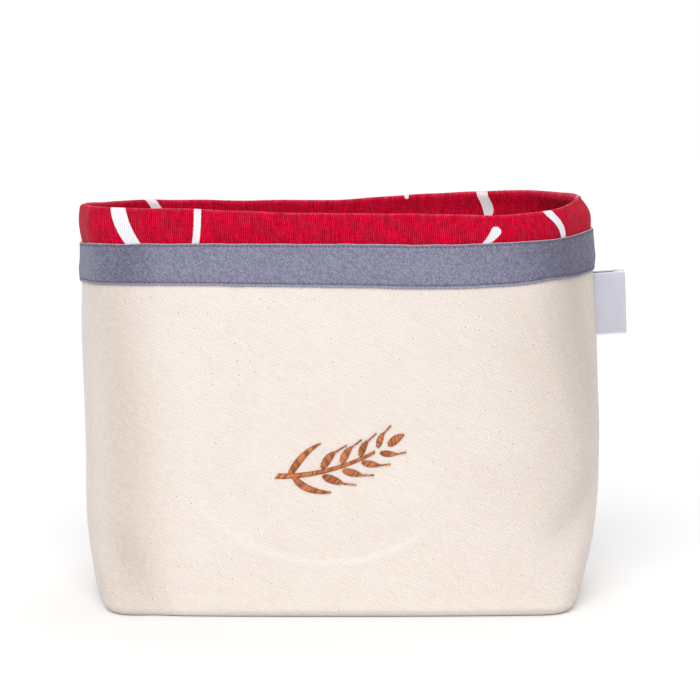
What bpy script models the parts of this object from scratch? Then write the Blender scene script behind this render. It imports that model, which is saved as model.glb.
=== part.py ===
"""A bread bag of twill canvas, standing open with its linen lining turned down over the rim.

A maker cuts and sews four pieces: the canvas bag with its boxed base, the linen lining whose
top folds over the rim as a cuff, the twill ribbon that covers the cuff's raw edge, and a woven
loop label caught in the right side seam. The bag stands as it was last used, so its corners,
its rim and its base are uneven, and soft folds run into its lower corners.

All the cloth follows one wall, the middle of the canvas, which is lofted through SECTIONS.
A place on it has two names. Its turn runs from 0 at the left side seam through 0.25 at the
front's middle and 0.5 at the right side seam round to 1. Its level runs from -2 at the base's
middle through -1 at the base's edge, 0 where the wall begins, 1 and 2 at the ribbon's lower
and upper edges, to 3 at the canvas's top edge.

Blender units are metres, +Z up, and the front faces -Y. The origin is the middle of the base,
on the surface that the bag stands on. The sizes and tables below are in millimetres.
"""

import math
from collections import namedtuple
from functools import lru_cache

import bmesh
import bpy
from mathutils import Vector

MM = 0.001

# Thickness of each cloth, and the air between two that lie on each other.
CANVAS = 1.2
LINEN = 1.0
RIBBON = 1.0
LABEL = 1.0
GAP = 0.3

# Where the middle of each cloth lies, outwards from the middle of the canvas.
CUFF_STAND = CANVAS / 2 + GAP + LINEN / 2
RIBBON_LOW_STAND = CANVAS / 2 + GAP + RIBBON / 2
RIBBON_HIGH_STAND = RIBBON_LOW_STAND + LINEN + GAP

# The rim: the lining turns over the canvas in a soft roll, and the cuff below it puffs out.
ROLL_HEIGHT = 2.6
ROLL_STAND = 2.6
CUFF_PUFF = 0.8
CUFF_EDGE_LEVEL = 1.36

# The levels of the ribbon's rows: it lies on the canvas at the first, on the cuff from the next.
RIBBON_LEVELS = (1, 1.28, 1.52, 1.76, 2)

# The base gathers to a seam along its middle, which is this share of the base's length.
BASE_SEAM_SHARE = 0.5

# The wall's plan at each height. From above it is a box whose sides come to a blunt point at
# the side seams. front_left to back_right are how far the corners lie from the middle, and
# left_seam and right_seam how far the side seams do. bow is how far the front and the back
# stand out between their corners. Each round is how far from a corner its rounding begins.
Section = namedtuple(
    "Section",
    "height front_left front_right back_left back_right left_seam right_seam "
    "front back bow round_left round_right round_back round_seam",
)
SECTIONS = (
    Section(0, 138, 140, 136, 136, 152, 152, 75, 75, 4, 13, 13, 13, 20),
    Section(40, 140, 140, 137, 137, 156, 161, 75, 75, 5, 38, 36, 34, 20),
    Section(90, 141, 141, 138, 137, 158, 163, 75, 75, 6, 44, 44, 36, 20),
    Section(140, 142, 136, 138, 135, 159, 162, 75, 75, 6, 40, 46, 38, 20),
    Section(190, 141, 123, 138, 131, 159, 160, 75, 75, 5, 26, 38, 38, 20),
    Section(208, 139, 121, 137, 129, 157, 158, 73, 73, 5, 20, 36, 36, 20),
    Section(234, 139, 120, 137, 127, 157, 155, 73, 73, 5, 20, 36, 36, 20),
    Section(247, 138, 118, 136, 125, 154, 144, 71, 72, 4, 20, 34, 34, 20),
)

# What changes on the way round: the heights of the rim and of the ribbon's two edges, and the
# radius on which the wall turns into the base.
Station = namedtuple("Station", "name turn rim ribbon_top ribbon_bottom base_round")
STATIONS = (
    Station("left_seam", 0, 240, 217, 193.5, 11),
    Station("front_left", 0.09, 242.5, 221, 197, 11),
    Station("front_middle", 0.25, 239, 221.5, 196.3, 9),
    Station("front_dip", 0.33, 238.6, 221, 195.3, 9),
    Station("front_right", 0.42, 242, 224, 199, 11),
    Station("right_seam", 0.5, 246, 226, 200, 11),
    Station("back_right", 0.59, 245.5, 224, 198.5, 11),
    Station("back_rise", 0.68, 241.5, 222, 197.5, 9),
    Station("back_middle", 0.75, 238, 221, 197, 9),
    Station("back_left", 0.91, 238.5, 220, 196, 11),
)

# The soft folds. turn and height place a fold's middle, length and width are half of its own,
# lean is how many degrees its top leans to the right as seen from outside, and stand is how
# far it stands out of the wall, or into the bag below zero.
Fold = namedtuple("Fold", "name turn height length width lean stand")
FOLDS = (
    Fold("left_corner_trough", 0.103, 36, 34, 11, -42, -3.2),
    Fold("left_corner_swell", 0.080, 24, 26, 13, -38, 1.8),
    Fold("right_corner_trough", 0.425, 54, 28, 10, 52, -2.8),
    Fold("right_corner_swell", 0.430, 28, 24, 13, 40, 1.4),
    Fold("right_edge_crease", 0.407, 150, 60, 9, -16, 1.6),
    Fold("left_side_dent", 0.040, 120, 60, 14, 0, -1.6),
    Fold("right_side_dent", 0.458, 185, 44, 14, 0, -1.8),
    Fold("back_right_trough", 0.593, 60, 44, 14, -30, -2.4),
    Fold("back_middle_dent", 0.723, 120, 70, 34, 14, -2.2),
    Fold("back_left_trough", 0.912, 54, 44, 14, 30, -2.4),
    Fold("back_left_dent", 0.983, 150, 60, 22, -8, -1.8),
)

# The label, a strip folded double with its two ends in the right side seam.
LABEL_TURN = 0.5
LABEL_TALL = 39.5
LABEL_REACH = 15.8
LABEL_OPENING = 1.4
LABEL_BACK_RISE = 1.2
LABEL_LEAN = 2.7
LABEL_DROP = 0.6

# The mesh: how many columns of faces each stretch of the front half has, from its start to its
# end in turn. The back half has the same, mirrored.
Stretch = namedtuple("Stretch", "name start end columns")
FRONT_STRETCHES = (
    Stretch("left_side", 0, 0.055, 3),
    Stretch("left_corner", 0.055, 0.125, 6),
    Stretch("front", 0.125, 0.375, 10),
    Stretch("right_corner", 0.375, 0.445, 6),
    Stretch("right_side", 0.445, 0.5, 3),
)

# The mesh: how many rows of faces there are up the base, its rounding, the lower wall with its
# folds, the rest of the wall, the cuff, the roll over the rim, and the label.
BASE_ROWS = 2
ROUND_ROWS = 4
LOW_WALL_ROWS = 5
LOW_WALL_LEVEL = 0.3
WALL_ROWS = 6
CUFF_ROWS = 3
TUCK_ROWS = 2
ROLL_ROWS = 5
LABEL_ROWS = 4
LABEL_TURN_ROWS = 6
CORNER_STEPS = 12

# How far apart two places are that give the wall's slope, in turn and in level, and how near
# two crossings are that are sewn into one.
PROBE = 0.004
WELD = 0.01


# ---------------------------------------------------------------------------- curves

def spread(low, high, rows):
    """Evenly spaced values from low to high, with this many rows between them."""
    return [low + (high - low) * row / rows for row in range(rows + 1)]


def cubic(knots, values, at):
    """The smooth curve through the values at the knots, and straight on past its ends."""
    last = len(knots) - 1

    def slope(knot):
        low, high = max(0, knot - 1), min(last, knot + 1)
        return (values[high] - values[low]) / (knots[high] - knots[low])

    if at <= knots[0] or at >= knots[last]:
        end = 0 if at <= knots[0] else last
        return values[end] + slope(end) * (at - knots[end])
    start = max(knot for knot in range(last) if knots[knot] <= at)
    span = knots[start + 1] - knots[start]
    t = (at - knots[start]) / span
    blend = values[start] * (1 + 2 * t) * (1 - t) ** 2 + values[start + 1] * (3 - 2 * t) * t**2
    return blend + (slope(start) * t * (1 - t) ** 2 - slope(start + 1) * (1 - t) * t**2) * span


def soft_corner(before, corner, after, reach):
    """Points on the curve that rounds a corner, from reach before it to reach after it."""
    start = corner + (before - corner).normalized() * reach
    end = corner + (after - corner).normalized() * reach
    steps = spread(0, 1, CORNER_STEPS)
    return [start.lerp(corner, t).lerp(corner.lerp(end, t), t) for t in steps]


def steps_of(points):
    """The lengths from each point of a line to the next."""
    return [(end - start).length for start, end in zip(points, points[1:])]


def along(points, fraction):
    """The point that lies this fraction of the way along a line of points."""
    lengths = steps_of(points)
    left = fraction * sum(lengths)
    for start, end, length in zip(points, points[1:], lengths):
        if left <= length:
            return start.lerp(end, left / length)
        left -= length
    return points[-1]


# ---------------------------------------------------------------------------- the wall

@lru_cache(maxsize=None)
def half_outlines(section):
    """The front half and the back half of a section's outline, each from seam to seam."""
    corners = (
        (Vector((-section.left_seam, 0)), section.round_seam),
        (Vector((-section.front_left, -section.front)), section.round_left),
        (Vector((section.front_right, -section.front)), section.round_right),
        (Vector((section.right_seam, 0)), section.round_seam),
        (Vector((section.back_right, section.back)), section.round_back),
        (Vector((-section.back_left, section.back)), section.round_back),
    )
    arcs = [
        soft_corner(corners[index - 1][0], corner, corners[(index + 1) % 6][0], reach)
        for index, (corner, reach) in enumerate(corners)
    ]
    middle = CORNER_STEPS // 2
    front = arcs[0][middle:] + arcs[1] + arcs[2] + arcs[3][:middle + 1]
    back = arcs[3][middle:] + arcs[4] + arcs[5] + arcs[0][:middle + 1]
    return front, back


@lru_cache(maxsize=None)
def girth():
    """The way round the bag at the middle section."""
    return sum(sum(steps_of(half)) for half in half_outlines(SECTIONS[len(SECTIONS) // 2]))


@lru_cache(maxsize=None)
def section_point(section, turn):
    """Where a section's outline is at this turn, with its front and back bowed out."""
    front, back = half_outlines(section)
    turn %= 1
    point = along(front, 2 * turn) if turn < 0.5 else along(back, 2 * turn - 1)
    half_width = section.right_seam if point.x > 0 else section.left_seam
    depth = section.front if point.y < 0 else section.back
    bow = section.bow * (1 - (point.x / half_width) ** 2) * point.y / depth
    return Vector((point.x, point.y + bow, section.height))


def plan_point(turn, height):
    """The lofted wall at a turn and a height, before its folds."""
    heights = [section.height for section in SECTIONS]
    return cubic(heights, [section_point(section, turn) for section in SECTIONS], height)


def plan_outward(turn, height):
    """The level direction that points straight out of the wall."""
    run = plan_point(turn + PROBE, height) - plan_point(turn - PROBE, height)
    return Vector((run.y, -run.x, 0)).normalized()


def fold_stand(turn, height):
    """How far the folds push the wall outwards here."""
    stand = 0
    for fold in FOLDS:
        away = turn - fold.turn
        across = (away - round(away)) * girth()
        rise = height - fold.height
        lean = math.radians(fold.lean)
        beside = (across * math.cos(lean) - rise * math.sin(lean)) / fold.width
        ahead = (across * math.sin(lean) + rise * math.cos(lean)) / fold.length
        stand += fold.stand * math.exp(-(beside**2) - ahead**4)
    return stand


@lru_cache(maxsize=None)
def station(turn):
    """The rim, the ribbon's edges and the base's rounding at this turn."""
    before = [row._replace(turn=row.turn - 1) for row in STATIONS[-2:]]
    after = [row._replace(turn=row.turn + 1) for row in STATIONS[:2]]
    rows = [*before, *STATIONS, *after]
    turns = [row.turn for row in rows]
    turn %= 1
    here = {"name": "between", "turn": turn}
    for field in ("rim", "ribbon_top", "ribbon_bottom", "base_round"):
        here[field] = cubic(turns, [getattr(row, field) for row in rows], turn)
    return Station(**here)


def wall_height(turn, level):
    """The height of a level of the wall."""
    here = station(turn)
    top = here.rim - ROLL_HEIGHT - LINEN / 2
    marks = (CANVAS / 2 + here.base_round, here.ribbon_bottom, here.ribbon_top, top)
    stretch = min(2, int(level))
    low, high = marks[stretch], marks[stretch + 1]
    return low + (high - low) * (level - stretch)


@lru_cache(maxsize=None)
def canvas_point(turn, level):
    """The middle of the canvas at a turn and a level."""
    if level < -1:
        edge, opposite = canvas_point(turn, -1), canvas_point(1 - turn, -1)
        seam = Vector(((edge.x + opposite.x) / 2 * BASE_SEAM_SHARE, 0, edge.z))
        return seam.lerp(edge, level + 2)
    inset = 0
    if level < 0:
        radius = station(turn).base_round
        angle = (level + 1) * math.pi / 2
        height = CANVAS / 2 + radius * (1 - math.cos(angle))
        inset = radius * (1 - math.sin(angle))
    else:
        height = wall_height(turn, level)
    outward = plan_outward(turn, height)
    return plan_point(turn, height) + outward * (fold_stand(turn, height) - inset)


def cloth_point(turn, level, stand, up=0):
    """A place that stands off the middle of the canvas, square to it, and up from there."""
    if level <= -1:
        square = Vector((0, 0, -1))
    else:
        run = canvas_point(turn + PROBE, level) - canvas_point(turn - PROBE, level)
        rise = canvas_point(turn, level + PROBE) - canvas_point(turn, level - PROBE)
        square = run.cross(rise).normalized()
    return canvas_point(turn, level) + square * stand + Vector((0, 0, up))


# ---------------------------------------------------------------------------- the pieces

def material(name, colour, roughness):
    """A cloth's finish."""
    finish = bpy.data.materials.new(name)
    finish.use_nodes = True
    surface = finish.node_tree.nodes["Principled BSDF"]
    surface.inputs["Base Color"].default_value = (*colour, 1)
    surface.inputs["Roughness"].default_value = roughness
    finish.diffuse_color = (*colour, 1)
    return finish


def cut_cloth(name, columns, rows, place, thickness, finish):
    """A piece of cloth: a flat cut, a grid, laid where place puts each column and row of it."""
    grid = bmesh.new()
    bmesh.ops.create_grid(grid, x_segments=columns, y_segments=rows, size=1)
    for crossing in grid.verts:
        column = round((crossing.co.x + 1) / 2 * columns)
        row = round((crossing.co.y + 1) / 2 * rows)
        crossing.co = place(column, row) * MM
    bmesh.ops.remove_doubles(grid, verts=grid.verts, dist=WELD * MM)
    bmesh.ops.triangulate(grid, faces=grid.faces, quad_method="FIXED")
    mesh = bpy.data.meshes.new(name)
    grid.to_mesh(mesh)
    grid.free()
    mesh.shade_smooth()
    mesh.materials.append(finish)
    piece = bpy.data.objects.new(name, mesh)
    bag.objects.link(piece)
    body = piece.modifiers.new("Thickness", "SOLIDIFY")
    body.thickness = thickness * MM
    body.offset = 0
    body.use_even_offset = True


def bag_turns():
    """The turns of the columns that all the cloth round the bag shares."""
    front = [0]
    for stretch in FRONT_STRETCHES:
        front += spread(stretch.start, stretch.end, stretch.columns)[1:]
    return front + [1 - turn for turn in reversed(front[:-1])]


def bag_levels():
    """The rows that canvas and lining share: base, turn into the wall, wall, and rim."""
    return [
        *spread(-2, -1, BASE_ROWS),
        *spread(-1, 0, ROUND_ROWS)[1:],
        *spread(0, LOW_WALL_LEVEL, LOW_WALL_ROWS)[1:],
        *spread(LOW_WALL_LEVEL, 1, WALL_ROWS)[1:],
        *RIBBON_LEVELS[1:],
        *spread(2, 3, CUFF_ROWS)[1:],
    ]


def outer_bag():
    """The canvas: its base, the turn into the wall, and the wall up to its top edge."""
    turns, levels = bag_turns(), bag_levels()

    def place(column, row):
        return cloth_point(turns[column], levels[row], 0)

    finish = material("twill_canvas", (0.89, 0.82, 0.76), 0.9)
    cut_cloth("outer_bag", len(turns) - 1, len(levels) - 1, place, CANVAS, finish)


def lining():
    """The linen: a bag inside the canvas, the roll over the rim, and the cuff outside."""
    turns = bag_turns()
    places = [(level, -CUFF_STAND, 0) for level in bag_levels()]
    middle, half = (ROLL_STAND - CUFF_STAND) / 2, (ROLL_STAND + CUFF_STAND) / 2
    for angle in spread(0, math.pi, ROLL_ROWS)[1:]:
        places.append((3, middle - half * math.cos(angle), ROLL_HEIGHT * math.sin(angle)))
    for level in spread(3, 2, CUFF_ROWS)[1:]:
        puff = CUFF_PUFF * math.sin(math.pi * (level - 2))
        places.append((level, CUFF_STAND + (ROLL_STAND - CUFF_STAND) * (level - 2) + puff, 0))
    places += [(level, CUFF_STAND, 0) for level in spread(2, CUFF_EDGE_LEVEL, TUCK_ROWS)[1:]]

    def place(column, row):
        return cloth_point(turns[column], *places[row])

    finish = material("red_linen", (0.56, 0.01, 0.03), 0.85)
    cut_cloth("lining", len(turns) - 1, len(places) - 1, place, LINEN, finish)


def ribbon_band():
    """The twill ribbon: over the cuff's raw edge, its lower edge down on the canvas."""
    turns = bag_turns()

    def place(column, row):
        stand = RIBBON_LOW_STAND if row == 0 else RIBBON_HIGH_STAND
        return cloth_point(turns[column], RIBBON_LEVELS[row], stand)

    finish = material("twill_ribbon", (0.23, 0.23, 0.33), 0.8)
    cut_cloth("ribbon_band", len(turns) - 1, len(RIBBON_LEVELS) - 1, place, RIBBON, finish)


def side_label():
    """The woven loop label: a strip folded double, standing out of the right side seam."""
    top = station(LABEL_TURN).ribbon_bottom - LABEL_DROP
    turn_radius = (LABEL_OPENING + LABEL) / 2
    straight = LABEL_REACH - turn_radius - LABEL / 2
    path = [(0, -turn_radius), (straight, -turn_radius)]
    for angle in spread(-math.pi / 2, math.pi / 2, LABEL_TURN_ROWS)[1:-1]:
        path.append((straight + turn_radius * math.cos(angle), turn_radius * math.sin(angle)))
    path += [(straight, turn_radius), (0, turn_radius)]
    lean = math.tan(math.radians(LABEL_LEAN))

    def place(column, row):
        reach, depth = path[column]
        drop = LABEL_TALL * (1 - row / LABEL_ROWS)
        height = top - drop - LABEL_BACK_RISE * (1 - column / (len(path) - 1))
        wall = plan_point(LABEL_TURN, height).x + fold_stand(LABEL_TURN, height)
        start = wall + CANVAS / 2 + GAP
        return Vector((start + reach + drop * lean * reach / LABEL_REACH, depth, height))

    finish = material("woven_label", (0.58, 0.57, 0.65), 0.6)
    cut_cloth("side_label", len(path) - 1, LABEL_ROWS, place, LABEL, finish)


for leftover in list(bpy.data.objects):
    bpy.data.objects.remove(leftover)
bag = bpy.data.collections.new("bread_bag")
bpy.context.scene.collection.children.link(bag)
outer_bag()
lining()
ribbon_band()
side_label()
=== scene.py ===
# %% [markdown]
# # A bread bag of canvas and linen
#
# The bag stands open on a pale floor. It is sewn from four cuts of cloth: a tube of cream twill
# canvas with a boxed base, a red linen lining whose top folds over the rim as a cuff, a blue-grey
# twill ribbon over the cuff's raw edge, and a small loop label in the right side seam. On the
# front there is a piece of satin embroidery.
#
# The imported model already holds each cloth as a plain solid. This lesson puts a finer cloth in
# the place of each, with the weave, the seams and the stitches that the solids leave out.

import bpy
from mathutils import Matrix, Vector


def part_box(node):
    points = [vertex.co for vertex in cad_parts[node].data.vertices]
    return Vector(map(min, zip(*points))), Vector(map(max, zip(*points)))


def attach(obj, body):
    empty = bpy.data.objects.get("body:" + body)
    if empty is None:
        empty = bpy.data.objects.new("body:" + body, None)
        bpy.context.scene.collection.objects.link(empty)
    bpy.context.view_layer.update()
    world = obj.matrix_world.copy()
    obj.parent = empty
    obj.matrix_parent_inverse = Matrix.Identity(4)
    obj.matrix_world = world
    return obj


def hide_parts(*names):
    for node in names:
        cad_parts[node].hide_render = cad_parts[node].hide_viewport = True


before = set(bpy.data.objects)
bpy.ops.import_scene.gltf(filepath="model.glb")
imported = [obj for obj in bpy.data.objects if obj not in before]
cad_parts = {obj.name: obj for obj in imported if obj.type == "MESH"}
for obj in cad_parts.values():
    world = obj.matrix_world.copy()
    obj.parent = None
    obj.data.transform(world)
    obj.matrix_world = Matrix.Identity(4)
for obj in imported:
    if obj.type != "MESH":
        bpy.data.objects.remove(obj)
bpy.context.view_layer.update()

# %% What the lesson uses
import math
from collections import namedtuple
from contextlib import contextmanager
from functools import lru_cache
from types import SimpleNamespace

import bmesh
import bpy
import numpy as np
from mathutils import Matrix, Vector, noise
from mathutils.bvhtree import BVHTree

MM = 0.001
FULL_TURN = 2 * math.pi

# %% [markdown]
# ## One wall for all the cloth
#
# The four cloths lie on each other, so they all follow one surface, the middle of the canvas.
# A place on it has two names. Its **turn** runs from 0 at the left side seam through 0.25 at the
# front's middle and 0.5 at the right side seam round to 1. Its **level** runs from -2 at the
# base's middle through -1 at the base's edge, 0 where the wall begins, and 1 and 2 at the
# ribbon's lower and upper edges, to 3 at the canvas's top edge. The sizes and the tables are in
# millimetres, and a cloth becomes metres when it is laid.
#
# The wall could be sculpted by hand or simulated. It is a loft through eight outlines instead,
# because then every cloth can ask it for the same place, at any fineness, and keep its own
# distance from it.

# %% The cloths' thicknesses, and where the middle of each lies from the middle of the canvas
CANVAS = 1.2
LINEN = 1.0
RIBBON = 0.8
LABEL = 0.8
GAP = 0.3
CUFF_STAND = CANVAS / 2 + GAP + LINEN / 2
RIBBON_LOW_STAND = CANVAS / 2 + GAP + 0.5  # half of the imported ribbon, which is thicker
RIBBON_HIGH_STAND = RIBBON_LOW_STAND + LINEN + GAP

# %% The rim: the lining turns over the canvas in a soft roll, and the cuff below it puffs out
ROLL_HEIGHT = 2.6
ROLL_STAND = 2.6
CUFF_PUFF = 0.8
CUFF_EDGE_LEVEL = 1.36

# %% The wall's plan at eight heights
# From above it is a box whose sides come to a blunt point at the side seams. front_left to
# back_right are how far the corners lie from the middle, and left_seam and right_seam how far
# the side seams do. bow is how far front and back stand out between their corners. Each round
# is how far from a corner its rounding begins.
Section = namedtuple(
    "Section",
    "height front_left front_right back_left back_right left_seam right_seam "
    "front back bow round_left round_right round_back round_seam",
)
SECTIONS = (
    Section(0, 134.6, 137, 136, 136, 151, 150.3, 75, 75, 4, 20, 17, 13, 20),
    Section(40, 140.4, 139.5, 137, 137, 156.6, 160, 75, 75, 5, 42, 36, 34, 20),
    Section(90, 141, 141, 138, 137, 158, 163, 75, 75, 6, 44, 44, 36, 20),
    Section(140, 142, 136, 138, 135, 159, 161.3, 75, 75, 6, 40, 46, 38, 20),
    Section(190, 141, 122, 138, 131, 159, 159, 75, 75, 5, 26, 26, 38, 20),
    Section(208, 139, 121, 137, 129, 157, 158, 73, 73, 5, 20, 36, 36, 20),
    Section(234, 139, 120, 137, 127, 157, 153.3, 73, 73, 5, 20, 36, 36, 20),
    Section(247, 138, 118, 136, 124, 154, 140.5, 71, 72, 4, 20, 34, 34, 20),
)

# %% What changes on the way round: the rim, the ribbon's two edges, and the base's rounding
Station = namedtuple("Station", "name turn rim ribbon_top ribbon_bottom base_round")
STATIONS = (
    Station("left_seam", 0, 238.8, 215.8, 192.3, 7),
    Station("front_left", 0.09, 240.8, 219.8, 195.8, 4.2),
    Station("front_middle", 0.25, 237.8, 220.3, 195.1, 4.4),
    Station("front_dip", 0.33, 237.2, 219.8, 194.1, 4.4),
    Station("front_bend", 0.375, 236.6, 220.8, 195.4, 4.8),
    Station("front_right", 0.42, 238.6, 221.8, 197.8, 6),
    Station("right_side", 0.455, 240.4, 222.4, 197.2, 7.6),
    Station("right_seam", 0.5, 242.8, 224, 198.8, 9),
    Station("back_right", 0.59, 243.3, 222.8, 197.3, 9),
    Station("back_rise", 0.68, 240.3, 220.8, 196.3, 7),
    Station("back_middle", 0.75, 236.8, 219.8, 195.8, 7),
    Station("back_left", 0.91, 237.3, 218.8, 194.8, 9),
)
BASE_SEAM_SHARE = 0.5

# %% The soft folds
# turn and height place a fold's middle, length and width are half of its own, lean is how many
# degrees its top leans to the right as seen from outside, and stand is how far it stands out of
# the wall, or into the bag below zero.
Fold = namedtuple("Fold", "name turn height length width lean stand")
MAIN_FOLDS = (
    Fold("left_corner_trough", 0.107, 19, 25, 12, -34, -2.4),
    Fold("left_corner_swell", 0.08, 18, 24, 12, -36, 2),
    Fold("right_corner_trough", 0.427, 56, 28, 14, 52, -2.5),
    Fold("right_corner_swell", 0.430, 28, 24, 13, 40, 1.4),
    Fold("right_edge_crease", 0.407, 150, 60, 9, -16, 1.6),
    Fold("left_side_dent", 0.040, 120, 60, 14, 0, -1.6),
    Fold("right_side_dent", 0.458, 185, 44, 14, 0, -0.9),
    Fold("back_right_trough", 0.593, 60, 44, 14, -30, -2.4),
    Fold("back_middle_dent", 0.723, 120, 70, 34, 14, -2.2),
    Fold("back_left_trough", 0.912, 54, 44, 14, 30, -2.4),
    Fold("back_left_dent", 0.983, 150, 60, 22, -8, -1.8),
)

# %% Where shade is painted on the cloth
# These use the same columns. Here stand is how much painted shade darkens the cloth: round the
# corners, near their feet, and along the deepest folds.
CANVAS_PAINTED_SHADE = (
    Fold("left_corner", 0.097, 120, 160, 20.5, 0, 0.88),
    Fold("left_fold", 0.109, 18, 24, 11, -34, 0.22),
    Fold("left_foot", 0.088, 34, 26, 18, 0, 0.22),
    Fold("right_foot", 0.384, 46, 52, 34, 0, 0.26),
    Fold("right_corner", 0.43, 170, 98, 60, 0, 0.7),
    Fold("right_wedge", 0.449, 184, 76, 30, 0, 0.38),
    Fold("right_fold", 0.424, 62, 26, 14, 52, 0.25),
    Fold("back_right_corner", 0.585, 120, 150, 24, 0, 0.6),
    Fold("back_left_corner", 0.915, 120, 150, 24, 0, 0.6),
)
RIBBON_PAINTED_SHADE = (
    Fold("left_corner", 0.104, 210, 60, 17, 0, 0.95),
    Fold("right_corner", 0.43, 210, 60, 42, 0, 0.95),
    Fold("right_side", 0.466, 210, 60, 26, 0, 0.3),
    Fold("back_right_corner", 0.59, 210, 60, 22, 0, 0.6),
    Fold("back_left_corner", 0.91, 210, 60, 22, 0, 0.6),
)

# %% [markdown]
# ## Curves through the tables
#
# Two small tools turn the tables into a surface: a smooth curve through a row of values, and a
# corner that is rounded between two straight lines. They work on whole arrays of places at once,
# which keeps a cloth of forty thousand crossings down to a second or two.

# %% A smooth curve through values at knots
def cubic(knots, values, at):
    """The smooth curve through the values at the knots, and straight on past its ends.

    values has a row for each knot. A row holds one number, or one for each place in at.
    """
    knots, values = np.array(knots, float), np.array(values, float)
    if values.ndim == 1:
        values = np.repeat(values[:, None], len(at), axis=1)
    last = len(knots) - 1
    low = np.maximum(np.arange(last + 1) - 1, 0)
    high = np.minimum(np.arange(last + 1) + 1, last)
    slopes = (values[high] - values[low]) / (knots[high] - knots[low])[:, None]
    inside = np.clip(at, knots[0], knots[last])
    start = np.clip(np.searchsorted(knots, inside, side="right") - 1, 0, last - 1)
    place = np.arange(len(at))
    span = knots[start + 1] - knots[start]
    t = (inside - knots[start]) / span
    rise = values[start, place] * (1 + 2 * t) * (1 - t) ** 2
    rise += values[start + 1, place] * (3 - 2 * t) * t**2
    bend = slopes[start, place] * t * (1 - t) ** 2 - slopes[start + 1, place] * (1 - t) * t**2
    beyond = np.where(at > inside, slopes[last], slopes[0]) * (at - inside)
    return rise + bend * span + beyond


# %% A rounded corner, and places along a line of points
CORNER_STEPS = 12


def unit(vectors):
    """The vectors, made one unit long."""
    return vectors / np.maximum(np.linalg.norm(vectors, axis=-1, keepdims=True), 1e-9)


def curve(start, bend, end, steps=24):
    """Points on a curve from start to end, drawn towards bend."""
    t = np.linspace(0, 1, steps + 1)[:, None]
    start, bend, end = (np.array(point, float) for point in (start, bend, end))
    return start * (1 - t) ** 2 + bend * 2 * t * (1 - t) + end * t**2


def soft_corner(before, corner, after, reach):
    """Points on the curve that rounds a corner, from reach before it to reach after it."""
    start, end = (corner + unit(beside - corner) * reach for beside in (before, after))
    return curve(start, corner, end, CORNER_STEPS)


def walked(points):
    """The length of the way along the points, at each of them."""
    return np.concatenate([[0], np.cumsum(np.linalg.norm(np.diff(points, axis=0), axis=1))])


def along(points, share):
    """The places that lie these shares of the way along a line of points."""
    way = walked(points)
    columns = [np.interp(share * way[-1], way, points[:, axis]) for axis in range(2)]
    return np.stack(columns, axis=1)


# %% The outline of a section, and the way round the bag
@lru_cache(maxsize=None)
def half_outlines(section):
    """The front half and the back half of a section's outline, each from seam to seam."""
    corners = (
        ((-section.left_seam, 0), section.round_seam),
        ((-section.front_left, -section.front), section.round_left),
        ((section.front_right, -section.front), section.round_right),
        ((section.right_seam, 0), section.round_seam),
        ((section.back_right, section.back), section.round_back),
        ((-section.back_left, section.back), section.round_back),
    )
    spots = [np.array(spot, float) for spot, reach in corners]
    arcs = [
        soft_corner(spots[index - 1], spots[index], spots[(index + 1) % 6], reach)
        for index, (spot, reach) in enumerate(corners)
    ]
    middle = CORNER_STEPS // 2
    front = np.concatenate([arcs[0][middle:], arcs[1], arcs[2], arcs[3][:middle + 1]])
    back = np.concatenate([arcs[3][middle:], arcs[4], arcs[5], arcs[0][:middle + 1]])
    return front, back


@lru_cache(maxsize=None)
def girth():
    """The way round the bag, in millimetres, at the middle section."""
    return sum(walked(half)[-1] for half in half_outlines(SECTIONS[len(SECTIONS) // 2]))


print(f"the bag is {girth():.0f} mm round")


# %% The lofted wall
def outline_at(section, turn):
    """Where a section's outline is at these turns, with its front and back bowed out."""
    front, back = half_outlines(section)
    turn = turn % 1
    at_front = (turn < 0.5)[:, None]
    spot = np.where(at_front, along(front, 2 * turn), along(back, 2 * turn - 1))
    x, y = spot.T
    half_width = np.where(x > 0, section.right_seam, section.left_seam)
    depth = np.where(y < 0, section.front, section.back)
    return np.array([x, y + section.bow * (1 - (x / half_width) ** 2) * y / depth])


def plan_points(turn, height):
    """The wall at these turns and heights, before its folds."""
    heights = [section.height for section in SECTIONS]
    outlines = np.array([outline_at(section, turn) for section in SECTIONS])
    across, deep = cubic(heights, outlines[:, 0], height), cubic(heights, outlines[:, 1], height)
    return np.stack([across, deep, height], axis=1)


PROBE = 0.004  # the step, in turn and in level, over which the wall's slope is measured


def plan_outward(turn, height):
    """The level direction that points straight out of the wall."""
    run = plan_points(turn + PROBE, height) - plan_points(turn - PROBE, height)
    return unit(np.stack([run[:, 1], -run[:, 0], np.zeros(len(turn))], axis=1))


@lru_cache(maxsize=None)
def station_rows(field):
    """The turns and the values of one column of STATIONS, carried on past both ends."""
    rows = [row._replace(turn=row.turn - 1) for row in STATIONS[-2:]]
    rows += [*STATIONS, *(row._replace(turn=row.turn + 1) for row in STATIONS[:2])]
    return [row.turn for row in rows], [getattr(row, field) for row in rows]


def station(field, turn):
    """One column of STATIONS at these turns."""
    return cubic(*station_rows(field), turn % 1)


# %% [markdown]
# ## Folds and the cloth's unevenness
#
# Each fold is a soft trough or swell with its own place, size and lean. Real cloth is never flat
# between them, so a slow ripple is laid on top. It is noise read in space, not along the cloth,
# so it meets itself at the seams, and all the cloths ripple together.

# %% Folds and ripple
RIPPLE_SIZES = (62, 21)
RIPPLE_STANDS = (0.75, 0.22)
RIPPLE_CALM = (8, 40)  # there is no ripple below the first height, and all of it above the second


def fold_stand(turn, height, folds):
    """How far these folds push the wall outwards."""
    stand = np.zeros(len(turn))
    for fold in folds:
        away = turn - fold.turn
        across = (away - np.round(away)) * girth()
        rise = height - fold.height
        lean = math.radians(fold.lean)
        beside = (across * math.cos(lean) - rise * math.sin(lean)) / fold.width
        ahead = (across * math.sin(lean) + rise * math.cos(lean)) / fold.length
        stand += fold.stand * np.exp(-(beside**2) - ahead**4)
    return stand


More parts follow.
